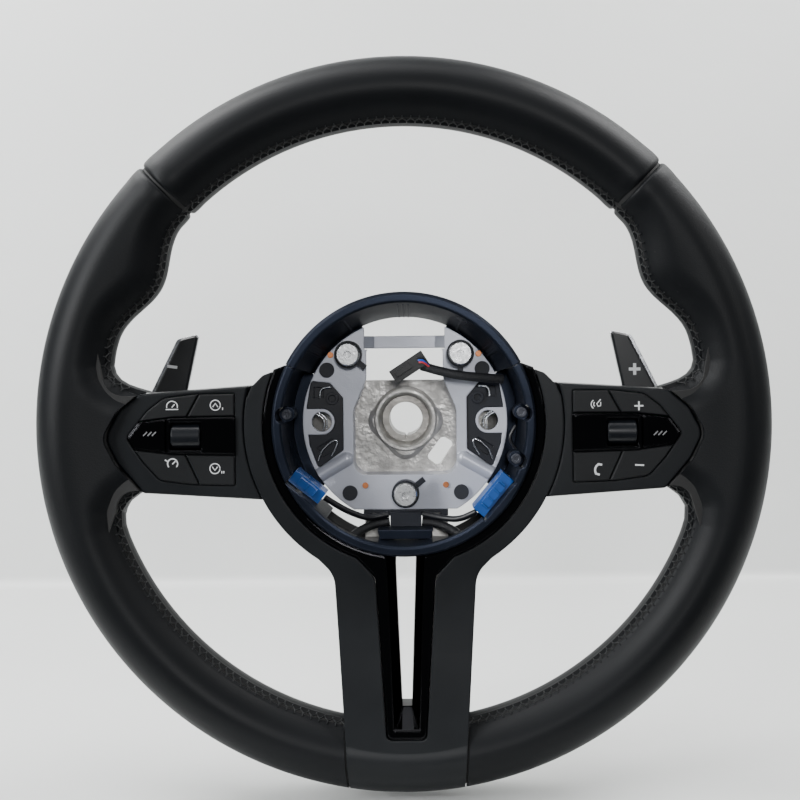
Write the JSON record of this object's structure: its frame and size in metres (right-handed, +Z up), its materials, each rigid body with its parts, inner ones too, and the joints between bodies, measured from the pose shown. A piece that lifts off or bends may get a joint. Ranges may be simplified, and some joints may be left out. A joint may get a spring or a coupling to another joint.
{
  "type": "car steering wheel",
  "caption": "Flat-spoked leather sport steering wheel with switch pods, gear paddles and an open hub; the airbag module is taken out.",
  "frame": {"origin": "on the axis of the steering shaft bore, inside the bushing", "axes": "+Z up with the wheel straight ahead, +X to the driver's right, +Y along the bore away from the driver"},
  "size_m": [0.37, 0.0841, 0.3701],
  "materials": {
    "leather": "smooth satin hide",
    "rim_foam": "moulded foam",
    "raw_casting": "raw cast, mottled",
    "bushing_steel": "machined",
    "satin_cover": "soft satin",
    "rear_plastic": "fine grain",
    "gloss_trim": "piano gloss",
    "plate_coating": "satin coated casting",
    "insert_plastic": "satin",
    "post_steel": "zinc plated",
    "soft_rubber": "dull",
    "copper": "dull",
    "liner_plastic": "semi gloss",
    "connector_blue": "semi gloss",
    "key_plastic": "fine matte",
    "roller_plastic": "ribbed gloss",
    "circuit_board": "solder mask",
    "paddle_black": "satin",
    "paddle_metal": "brushed",
    "cable_jacket": "woven sleeve"
  },
  "bodies": {
    "wheel": {"leather_top": "leather", "leather_left": "leather", "leather_right": "leather", "rim_foam": "rim_foam", "armature_casting": "raw_casting", "spline_bushing": "bushing_steel", "lower_spoke_cover": "satin_cover", "switch_pod_left": "satin_cover", "switch_pod_right": "satin_cover", "lower_rear_cover": "rear_plastic", "rear_cover": "rear_plastic", "rear_spoke_cover_left": "rear_plastic", "rear_spoke_cover_right": "rear_plastic", "gloss_trim": "gloss_trim", "pod_bar_left": "gloss_trim", "pod_bar_right": "gloss_trim", "carrier_plate": "plate_coating", "side_insert_left": "insert_plastic", "side_insert_right": "insert_plastic", "clip_rail": "insert_plastic", "post_collar_left": "insert_plastic", "post_collar_right": "insert_plastic", "post_collar_lower": "insert_plastic", "lead_plug": "insert_plastic", "liner_screws": "post_steel", "paddle_pin_left": "post_steel", "paddle_pin_right": "post_steel", "rubber_plugs": "soft_rubber", "contact_rivets": "copper", "liner_lower": "liner_plastic", "liner_upper": "liner_plastic", "blue_connector_left": "connector_blue", "blue_connector_right": "connector_blue", "switch_board_left": "circuit_board", "switch_board_right": "circuit_board", "harness_left": "cable_jacket", "harness_right": "cable_jacket", "connector_lead_left": "cable_jacket", "connector_lead_right": "cable_jacket", "loose_lead": "cable_jacket"},
    "key_upper_outer_left": {"key_upper_outer_left": "key_plastic"},
    "key_upper_inner_left": {"key_upper_inner_left": "key_plastic"},
    "key_lower_outer_left": {"key_lower_outer_left": "key_plastic"},
    "key_lower_inner_left": {"key_lower_inner_left": "key_plastic"},
    "key_gloss_left": {"key_gloss_left": "gloss_trim"},
    "roller_left": {"roller_left": "roller_plastic"},
    "paddle_left": {"paddle_cap_left": "paddle_black", "paddle_blade_left": "paddle_metal"},
    "key_upper_outer_right": {"key_upper_outer_right": "key_plastic"},
    "key_upper_inner_right": {"key_upper_inner_right": "key_plastic"},
    "key_lower_outer_right": {"key_lower_outer_right": "key_plastic"},
    "key_lower_inner_right": {"key_lower_inner_right": "key_plastic"},
    "key_gloss_right": {"key_gloss_right": "gloss_trim"},
    "roller_right": {"roller_right": "roller_plastic"},
    "paddle_right": {"paddle_cap_right": "paddle_black", "paddle_blade_right": "paddle_metal"},
    "horn_post_left": {"horn_post_left": "post_steel"},
    "horn_post_right": {"horn_post_right": "post_steel"},
    "horn_post_lower": {"horn_post_lower": "post_steel"}
  },
  "joints": [
    {"name": "key_upper_outer_left_press", "type": "slide", "parent": "wheel", "child": "key_upper_outer_left", "axis": [0, 1, 0], "range_m": [0, 0.0008], "stiffness_N_per_m": 1500},
    {"name": "key_upper_inner_left_press", "type": "slide", "parent": "wheel", "child": "key_upper_inner_left", "axis": [0, 1, 0], "range_m": [0, 0.0008], "stiffness_N_per_m": 1500},
    {"name": "key_lower_outer_left_press", "type": "slide", "parent": "wheel", "child": "key_lower_outer_left", "axis": [0, 1, 0], "range_m": [0, 0.0008], "stiffness_N_per_m": 1500},
    {"name": "key_lower_inner_left_press", "type": "slide", "parent": "wheel", "child": "key_lower_inner_left", "axis": [0, 1, 0], "range_m": [0, 0.0008], "stiffness_N_per_m": 1500},
    {"name": "key_gloss_left_press", "type": "slide", "parent": "wheel", "child": "key_gloss_left", "axis": [0, 1, 0], "range_m": [0, 0.0008], "stiffness_N_per_m": 1500},
    {"name": "roller_left_turn", "type": "hinge", "parent": "wheel", "child": "roller_left", "pos_m": [-0.1085, -0.0575, -0.0049], "axis": [1, 0, 0], "range_deg": [-15, 15], "stiffness_Nm_per_rad": 0.02},
    {"name": "paddle_left_pull", "type": "hinge", "parent": "wheel", "child": "paddle_left", "pos_m": [-0.0805, -0.0236, -0.0055], "axis": [0, 0, 1], "range_deg": [0, 4], "stiffness_Nm_per_rad": 2},
    {"name": "key_upper_outer_right_press", "type": "slide", "parent": "wheel", "child": "key_upper_outer_right", "axis": [0, 1, 0], "range_m": [0, 0.0008], "stiffness_N_per_m": 1500},
    {"name": "key_upper_inner_right_press", "type": "slide", "parent": "wheel", "child": "key_upper_inner_right", "axis": [0, 1, 0], "range_m": [0, 0.0008], "stiffness_N_per_m": 1500},
    {"name": "key_lower_outer_right_press", "type": "slide", "parent": "wheel", "child": "key_lower_outer_right", "axis": [0, 1, 0], "range_m": [0, 0.0008], "stiffness_N_per_m": 1500},
    {"name": "key_lower_inner_right_press", "type": "slide", "parent": "wheel", "child": "key_lower_inner_right", "axis": [0, 1, 0], "range_m": [0, 0.0008], "stiffness_N_per_m": 1500},
    {"name": "key_gloss_right_press", "type": "slide", "parent": "wheel", "child": "key_gloss_right", "axis": [0, 1, 0], "range_m": [0, 0.0008], "stiffness_N_per_m": 1500},
    {"name": "roller_right_turn", "type": "hinge", "parent": "wheel", "child": "roller_right", "pos_m": [0.1085, -0.0575, -0.0049], "axis": [1, 0, 0], "continuous": true},
    {"name": "paddle_right_pull", "type": "hinge", "parent": "wheel", "child": "paddle_right", "pos_m": [0.0805, -0.0236, -0.0055], "axis": [0, 0, -1], "range_deg": [0, 4], "stiffness_Nm_per_rad": 2},
    {"name": "horn_post_left_press", "type": "slide", "parent": "wheel", "child": "horn_post_left", "axis": [0, 1, 0], "range_m": [0, 0.0015], "stiffness_N_per_m": 4000},
    {"name": "horn_post_right_press", "type": "slide", "parent": "wheel", "child": "horn_post_right", "axis": [0, 1, 0], "range_m": [0, 0.0015], "stiffness_N_per_m": 4000},
    {"name": "horn_post_lower_press", "type": "slide", "parent": "wheel", "child": "horn_post_lower", "axis": [0, 1, 0], "range_m": [0, 0.0015], "stiffness_N_per_m": 4000}
  ]
}
